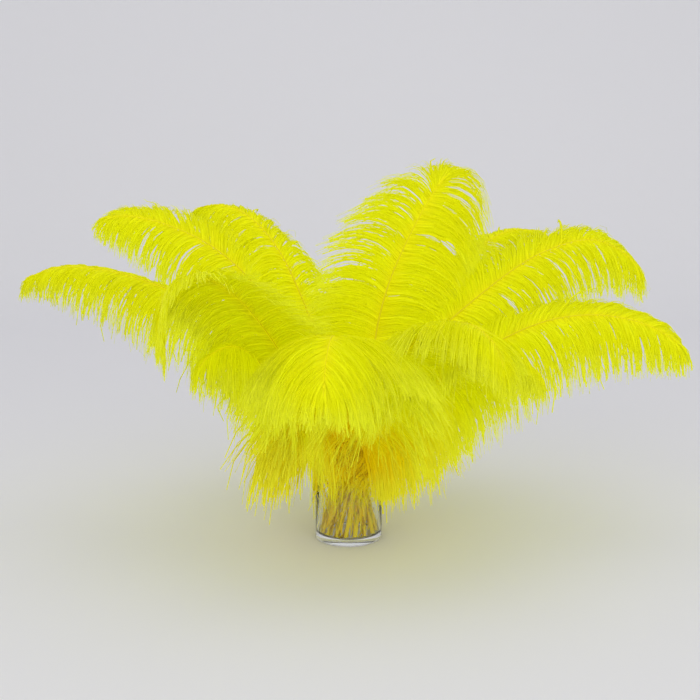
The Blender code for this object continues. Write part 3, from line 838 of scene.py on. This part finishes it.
class Paint(Tree):
    """A material in the making, with a Principled BSDF for its main shader."""

    def __init__(self, name, **constants):
        self.material = bpy.data.materials.new(name)
        self.material.use_nodes = True
        super().__init__(self.material.node_tree)
        self.shader = self.tree.nodes["Principled BSDF"]
        self.outlet = self.tree.nodes["Material Output"]
        for label, value in constants.items():
            self.shader.inputs[label.replace("_", " ")].default_value = value

    def set(self, label, value):
        """Feeds one of the main shader's sockets."""
        self.feed(self.shader.inputs[label], value)

    def spots(self, scale, detail, roughness=0.5, stretch=None):
        """Noise over the object, from 0 to 1."""
        where = self.add("ShaderNodeTexCoord", output=3)
        if stretch:
            where = self.add("ShaderNodeMapping", None, {0: where, "Scale": stretch})
        return self.add("ShaderNodeTexNoise", None,
                        {"Vector": where, "Scale": scale, "Detail": detail,
                         "Roughness": roughness})

    def covered(self, shade, *covers):
        """A shade with further colours laid over it, each with how much of it they hide."""
        for share, colour in covers:
            shade = self.mix(share, shade, colour)
        return shade

    def bump(self, height, distance, strength):
        """Lays a bump on the main shader."""
        self.set("Normal", self.add("ShaderNodeBump", None, {
            "Height": height, "Distance": distance, "Strength": strength}))

    def lit_through(self, factor, colour):
        """Mixes in light that comes through from behind."""
        glow = self.add("ShaderNodeBsdfTranslucent", None, {"Color": colour})
        both = self.add("ShaderNodeMixShader", None, {
            0: factor, 1: Wire(self, self.shader.outputs[0]), 2: glow})
        self.tree.links.new(both.socket, self.outlet.inputs["Surface"])


def barb_paint(settings):
    """Dyed barbs: lemon, warmer and deeper at the shaft, each strand a shade of its own, with a
    painted sheen at the tips, painted shade on the down at the bunch's core and a painted glow all
    over.
    """
    # Emission Strength is a painted glow: the barbs give off light, though they are no lamp, to
    # lift their shade
    paint = Paint("dyed_barbs", Specular_IOR_Level=0.2, Emission_Strength=settings.glow)
    along = paint.add("ShaderNodeAttribute", {"attribute_name": "along"}, output=2)
    tone = paint.add("ShaderNodeAttribute", {"attribute_name": "tone"}, output=2)
    station = paint.add("ShaderNodeAttribute", {"attribute_name": "station"}, output=2)
    root = paint.clamp(1.0 - along * ROOT_FADE)
    foot = 1.0 - paint.smooth_step(station, 0.0, FOOT_END)
    matted = 1.0 - paint.smooth_step(station, MATTED.station, 0.0)
    drab = paint.smooth_step(tone, *DRAB_TONES)
    tips = paint.smooth_step(along, TIP_START, 1.0)
    cloud = paint.spots(scale=9.0, detail=3.0)
    fleck = paint.spots(scale=420.0, detail=2.0)
    lit = paint.clamp(tone * LIT_BY_TONE + cloud * LIT_BY_CLOUD - LIT_LESS)
    shade = paint.covered(paint.mix(lit, settings.deep_colour, settings.barb_colour),
                          (root * ROOT_COVER, settings.root_colour),
                          (foot * FOOT_COVER, settings.foot_colour),
                          # Matted down: its own warm colour, darkened as painted shade in the gaps
                          # at the bunch's core
                          (matted * drab, settings.down_and_core_shade_colour),
                          # Paler tips with a painted sheen: a whitish highlight laid into the tip
                          # colour
                          (tips * TIP_AND_SHEEN_COVER, settings.tip_and_sheen_colour),
                          (fleck * FLECK_COVER, settings.deep_colour))
    paint.set("Base Color", shade)
    # The painted glow takes the barbs' colour
    paint.set("Emission Color", shade)
    paint.set("Roughness", 0.5 + fleck * 0.25)
    paint.bump(paint.spots(scale=900.0, detail=1.0), distance=0.0002, strength=0.5)
    paint.lit_through(LIT_THROUGH, settings.glow_colour)
    return paint.material


def shaft_paint(settings):
    """Dyed shafts: golden, with lengthwise streaks, warmer on the bare quill, with a painted glow.
    """
    # Emission Strength is a painted glow: the shafts give off light, though they are no lamp
    paint = Paint("dyed_shafts", Specular_IOR_Level=0.2,
                  Emission_Strength=settings.glow * SHAFT_PAINTED_GLOW)
    station = paint.add("ShaderNodeAttribute", {"attribute_name": "station"}, output=2)
    streak = paint.spots(scale=160.0, detail=3.0, roughness=0.6, stretch=(1.0, 1.0, 0.12))
    vane = paint.smooth_step(station, *QUILL_ENDS)
    tip = paint.smooth_step(station, *SHAFT_DEEPENS)
    shade = paint.covered(settings.quill_colour,
                          (vane, settings.shaft_colour),
                          (tip * DEEP_COVER, settings.deep_colour),
                          (streak * STREAK_COVER, settings.root_colour))
    paint.set("Base Color", shade)
    paint.set("Emission Color", shade)
    paint.set("Roughness", 0.36 + streak * 0.25)
    paint.bump(streak, distance=0.0003, strength=0.5)
    return paint.material


def glass_paint(settings):
    """Clear pressed glass with a faint green cast, slightly wavy, with dull smudges."""
    paint = Paint("clear_glass", Transmission_Weight=1.0, IOR=1.5, Specular_IOR_Level=0.35)
    smudge = paint.spots(scale=38.0, detail=4.0, roughness=0.6)
    film = paint.smooth_step(smudge, *SMUDGE_EDGES)
    paint.set("Base Color", paint.mix(film * SMUDGE_COVER, settings.glass_colour,
                                      SMUDGE_COLOUR))
    paint.set("Roughness", 0.012 + film * 0.05)
    waves = paint.spots(scale=22.0, detail=1.0, roughness=0.4, stretch=(1.0, 1.0, 0.45))
    paint.bump(waves, distance=0.0008, strength=0.12)
    return paint.material


def floor_paint(settings):
    """Pale seamless studio paper."""
    paint = Paint("pale_paper", Roughness=0.85, Specular_IOR_Level=0.2)
    grain = paint.spots(scale=340.0, detail=4.0, roughness=0.6)
    wash = paint.spots(scale=0.9, detail=2.0)
    shadier = tuple(c * PAPER_SHADE for c in settings.paper_colour[:3]) + (1.0,)
    paint.set("Base Color", paint.mix(wash * WASH_COVER + grain * GRAIN_COVER,
                                      settings.paper_colour, shadier))
    paint.bump(grain, distance=0.0004, strength=0.15)
    return paint.material


def colour_of(name, description, default):
    """A colour property."""
    return FloatVectorProperty(name=name, description=description, subtype="COLOR", size=4,
                               min=0.0, max=1.0, default=default)


class PlumeSettings(bpy.types.PropertyGroup):
    """Sizes and colours of the plumes."""

    spacing: FloatProperty(name="Spacing", description="Distance between barbs along a shaft",
                           default=0.00070, unit="LENGTH")
    width: FloatProperty(name="Barb width", description="Half width of a barb at its root",
                         default=0.0026, unit="LENGTH")
    slimming: FloatProperty(name="Slimming", description="Share of its width a barb loses",
                            default=0.62, subtype="FACTOR")
    steps: IntProperty(name="Steps", description="Straight lengths in a barb", default=6)
    length_spread: FloatProperty(name="Length spread", description="How uneven the tips are",
                                 default=0.16, subtype="FACTOR")
    stray: FloatProperty(name="Stray", description="How far barbs stray from the vane",
                         default=0.07, subtype="ANGLE")
    gather: FloatProperty(name="Gather", description="How far tips draw together into locks",
                          default=0.55, subtype="FACTOR")
    broad_share: FloatProperty(name="Broad share", description="Share of broad, matted barbs",
                               default=0.26, subtype="FACTOR")
    twist: FloatProperty(name="Twist", description="How far barbs turn about themselves",
                         default=0.9, subtype="ANGLE")
    wave: FloatProperty(name="Wave", description="Height of the waves of a barb",
                        default=0.010, unit="LENGTH")
    kink: FloatProperty(name="Kink", description="Further waves of the few unruly barbs",
                        default=0.040, unit="LENGTH")
    down: IntProperty(name="Down", description="Strands of down on a bare quill", default=130)
    curl_share: FloatProperty(name="Curls", description="Share of the down that hangs in curls",
                              default=0.5, subtype="FACTOR")
    seed: IntProperty(name="Seed", description="Seed of all that is random", default=11)
    barb_colour: colour_of("Barb colour", "Lit barbs", (0.92, 0.965, 0.004, 1.0))
    deep_colour: colour_of("Deep colour", "Barbs in their own shade", (0.89, 0.86, 0.001, 1.0))
    # Tip colour: the tips' own paler dye, whitened further as a painted sheen
    tip_and_sheen_colour: colour_of("Tip colour", "Thin tips of barbs", (0.94, 0.98, 0.08, 1.0))
    root_colour: colour_of("Root colour", "Barbs next to the shaft", (0.92, 0.80, 0.001, 1.0))
    foot_colour: colour_of("Foot colour", "Barbs at the foot of a vane", (0.90, 0.52, 0.001, 1.0))
    # Down colour: the down's warm dye, darkened as painted shade in the gaps at the bunch's core
    down_and_core_shade_colour: colour_of("Down colour", "Matted down on the quills", (0.42, 0.19, 0.002, 1.0))
    # Painted glow: barbs and shafts give off light of their own colour, though they are no lamp,
    # to lift their shade
    glow: FloatProperty(name="Glow", description="Light that the dye gives back", default=0.26)
    glow_colour: colour_of("Glow colour", "Light that comes through", (0.94, 0.965, 0.002, 1.0))
    shaft_colour: colour_of("Shaft colour", "Shaft in the vane", (0.72, 0.64, 0.002, 1.0))
    quill_colour: colour_of("Quill colour", "Bare quill in the vase", (0.96, 0.74, 0.001, 1.0))


class VaseSettings(bpy.types.PropertyGroup):
    """Sizes and colour of the vase."""

    radius: FloatProperty(name="Radius", description="Outer radius", unit="LENGTH",
                          default=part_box("vase")[1][0])
    height: FloatProperty(name="Height", description="Height of the rim", unit="LENGTH",
                          default=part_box("vase")[1][2])
    wall: FloatProperty(name="Wall", description="Thickness of the wall", unit="LENGTH",
                        default=0.0035)
    base: FloatProperty(name="Base", description="Thickness of the floor", unit="LENGTH",
                        default=0.010)
    glass_colour: colour_of("Glass colour", "Cast of the glass", (0.97, 0.99, 0.98, 1.0))


class StageSettings(bpy.types.PropertyGroup):
    """The studio around the vase."""

    paper_colour: colour_of("Paper colour", "Floor and backdrop", (0.856, 0.856, 0.882, 1.0))
    key_power: FloatProperty(name="Key power", description="Power of the main light",
                             default=13.0, unit="POWER")
    fill_power: FloatProperty(name="Fill power", description="Power of the lower light",
                              default=11.0, unit="POWER")
    top_power: FloatProperty(name="Top power", description="Power of the overhead light",
                             default=9.0, unit="POWER")
    world_strength: FloatProperty(name="World strength", description="Even light all round",
                                  default=0.66)
    lens: FloatProperty(name="Lens", description="Focal length in mm on a 36 mm frame",
                        default=77.14)
    pitch: FloatProperty(name="Pitch", description="How far the camera looks down",
                         default=math.radians(12.5), subtype="ANGLE")
    camera_place: FloatVectorProperty(name="Camera", description="Where the camera stands",
                                      default=(0.002, -2.158, 0.767), subtype="TRANSLATION")


def dress(piece, node):
    """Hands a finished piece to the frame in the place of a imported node."""
    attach(piece, BODY)
    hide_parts(node)


class PLUMES_OT_plumes(bpy.types.Operator):
    """Grows every plume: its shaft, barbs and down"""

    bl_idname = "plumes.plumes"
    bl_label = "Grow plumes"

    def execute(self, context):
        settings = context.scene.plume_settings
        vase = context.scene.vase_settings
        tree = plume_tree()
        barbs = barb_paint(settings)
        shafts = shaft_paint(settings)
        for number, plume in enumerate(PLUMES):
            luck = random.Random(settings.seed * SEEDS_A_BUNCH + number)
            shaft = Shaft(plume)
            roots = Roots()
            add_line(roots, shaft)
            for side in (1, -1):
                add_vane(roots, shaft, side, settings, luck)
            for side, first, last, strands, longest in FRINGES.get(plume.name, ()) + WISPS:
                add_fringe(roots, shaft, side, first, last, strands, longest, luck)
            add_down(roots, shaft, settings, luck)
            piece = run_tree(tree, roots.mesh(plume.name + "_roots"), "dyed_" + plume.name, {
                "Steps": settings.steps,
                "Strand Width": settings.width,
                "Slimming": settings.slimming,
                "Length Spread": settings.length_spread,
                "Twist": settings.twist,
                "Wave": settings.wave,
                "Waves": WAVES,
                "Kink": settings.kink,
                "Vase Radius": vase.radius + GLASS_GAP,
                "Vase Inside": vase.radius - vase.wall - INSIDE_GAP,
                "Rim Height": vase.height,
                "Seed": settings.seed + number * SEEDS_A_PLUME,
                "Barb Material": barbs,
                "Shaft Material": shafts,
            })
            dress(piece, plume.name)
        return {"FINISHED"}


class PLUMES_OT_vase(bpy.types.Operator):
    """Turns the glass vase from its half section"""

    bl_idname = "plumes.vase"
    bl_label = "Turn vase"

    def execute(self, context):
        settings = context.scene.vase_settings
        outer = settings.radius
        inner = outer - settings.wall
        half = settings.wall / 2
        section = [(outer * share, height) for share, height in HOLLOW]
        section.append((outer - HEEL_RADIUS * HEEL_FLAT, 0.0))
        section += arc(outer - HEEL_RADIUS, HEEL_RADIUS, HEEL_RADIUS, -90, 0, HEEL_STEPS)
        section += arc(outer - half, settings.height - half, half, 0, 180, RIM_STEPS)
        section += arc(inner - BOWL_RADIUS, settings.base + BOWL_RADIUS, BOWL_RADIUS,
                       0, -90, BOWL_STEPS)
        section.append((inner / 2, settings.base - BOWL_DIP[0]))
        section.append((0.0, settings.base - BOWL_DIP[1]))
        mesh = turned("clear_vase", section, VASE_SIDES)
        mesh.materials.append(glass_paint(settings))
        piece = bpy.data.objects.new("clear_vase", mesh)
        context.scene.collection.objects.link(piece)
        dress(piece, "vase")
        return {"FINISHED"}


def arc(across, up, radius, first, last, steps):
    """Points of an arc in a half section, in degrees from level."""
    points = []
    for i in range(steps + 1):
        angle = math.radians(first + (last - first) * i / steps)
        points.append((across + radius * math.cos(angle), up + radius * math.sin(angle)))
    return points


def turned(name, section, sides):
    """A closed mesh turned about the upright axis from (radius, height) points."""
    work = bmesh.new()
    rings = []
    for radius, height in section:
        if radius == 0.0:
            rings.append([work.verts.new((0.0, 0.0, height))])
            continue
        rings.append([work.verts.new((radius * math.cos(math.tau * i / sides),
                                      radius * math.sin(math.tau * i / sides), height))
                      for i in range(sides)])
    for low, high in zip(rings, rings[1:]):
        for i in range(sides):
            j = (i + 1) % sides
            if len(low) == 1:
                work.faces.new((low[0], high[j], high[i]))
            elif len(high) == 1:
                work.faces.new((low[i], low[j], high[0]))
            else:
                work.faces.new((low[i], low[j], high[j], high[i]))
    mesh = bpy.data.meshes.new(name)
    work.to_mesh(mesh)
    work.free()
    mesh.shade_smooth()
    return mesh


class PLUMES_OT_stage(bpy.types.Operator):
    """Sets up the floor, backdrop, lights and camera"""

    bl_idname = "plumes.stage"
    bl_label = "Set stage"

    def execute(self, context):
        settings = context.scene.stage_settings
        floor = backdrop(settings)
        for lamp in LAMPS:
            add_lamp(lamp, getattr(settings, lamp.power))
        world = bpy.data.worlds.new("studio")
        world.use_nodes = True
        sky = world.node_tree.nodes["Background"]
        sky.inputs["Color"].default_value = SKY_COLOUR
        sky.inputs["Strength"].default_value = settings.world_strength
        context.scene.world = world
        camera = bpy.data.objects.new("camera", bpy.data.cameras.new("camera"))
        camera.data.lens = settings.lens
        camera.data.sensor_width = SENSOR_WIDTH
        camera.location = settings.camera_place
        camera.rotation_euler = (math.pi / 2 - settings.pitch, 0.0, 0.0)
        context.scene.collection.objects.link(camera)
        context.scene.camera = camera
        context.scene.view_settings.view_transform = "Standard"
        return {"FINISHED"}


def backdrop(settings):
    """One sheet of paper: a level floor that sweeps up far behind the vase."""
    profile = [(FLOOR_FRONT, 0.0), (SWEEP_START, 0.0)]
    profile += arc(SWEEP_START, SWEEP_RADIUS, SWEEP_RADIUS, -90, 0, SWEEP_STEPS)[1:]
    profile.append((SWEEP_START + SWEEP_RADIUS, PAPER_TOP))
    points = [(x, y, z) for y, z in profile for x in (-PAPER_HALF_WIDTH, PAPER_HALF_WIDTH)]
    faces = [(2 * i, 2 * i + 1, 2 * i + 3, 2 * i + 2) for i in range(len(profile) - 1)]
    mesh = bpy.data.meshes.new("paper_sweep")
    mesh.from_pydata(points, [], faces)
    mesh.shade_smooth()
    mesh.materials.append(floor_paint(settings))
    floor = bpy.data.objects.new("paper_sweep", mesh)
    bpy.context.scene.collection.objects.link(floor)
    return floor


def add_lamp(lamp, power):
    """A soft square light that faces the plumes."""
    light = bpy.data.lights.new(lamp.name, "AREA")
    light.size = lamp.size
    light.energy = power
    light.color = lamp.colour
    holder = bpy.data.objects.new(lamp.name, light)
    holder.location = lamp.place
    aim = LAMP_AIM - Vector(lamp.place)
    holder.rotation_euler = aim.to_track_quat("-Z", "Y").to_euler()
    bpy.context.scene.collection.objects.link(holder)


class PLUMES_PT_panel(bpy.types.Panel):
    """Lists the makers of the pieces"""

    bl_idname = "PLUMES_PT_panel"
    bl_label = "Plumes"
    bl_space_type = "VIEW_3D"
    bl_region_type = "UI"
    bl_category = "Plumes"

    def draw(self, context):
        scene = context.scene
        for operator, settings in ((PLUMES_OT_plumes, scene.plume_settings),
                                   (PLUMES_OT_vase, scene.vase_settings),
                                   (PLUMES_OT_stage, scene.stage_settings)):
            box = self.layout.box()
            box.operator(operator.bl_idname)
            for name in settings.__annotations__:
                box.prop(settings, name)


CLASSES = (PlumeSettings, VaseSettings, StageSettings, PLUMES_OT_plumes, PLUMES_OT_vase,
           PLUMES_OT_stage, PLUMES_PT_panel)


def register():
    """Registers the classes and hangs their settings on the scene."""
    for item in CLASSES:
        bpy.utils.register_class(item)
    bpy.types.Scene.plume_settings = PointerProperty(type=PlumeSettings)
    bpy.types.Scene.vase_settings = PointerProperty(type=VaseSettings)
    bpy.types.Scene.stage_settings = PointerProperty(type=StageSettings)


def unregister():
    """Takes away what register added."""
    del bpy.types.Scene.stage_settings
    del bpy.types.Scene.vase_settings
    del bpy.types.Scene.plume_settings
    for item in reversed(CLASSES):
        bpy.utils.unregister_class(item)


def main():
    """Registers the add-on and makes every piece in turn."""
    register()
    bpy.ops.plumes.stage()
    bpy.ops.plumes.vase()
    bpy.ops.plumes.plumes()


if __name__ == "__main__":
    main()
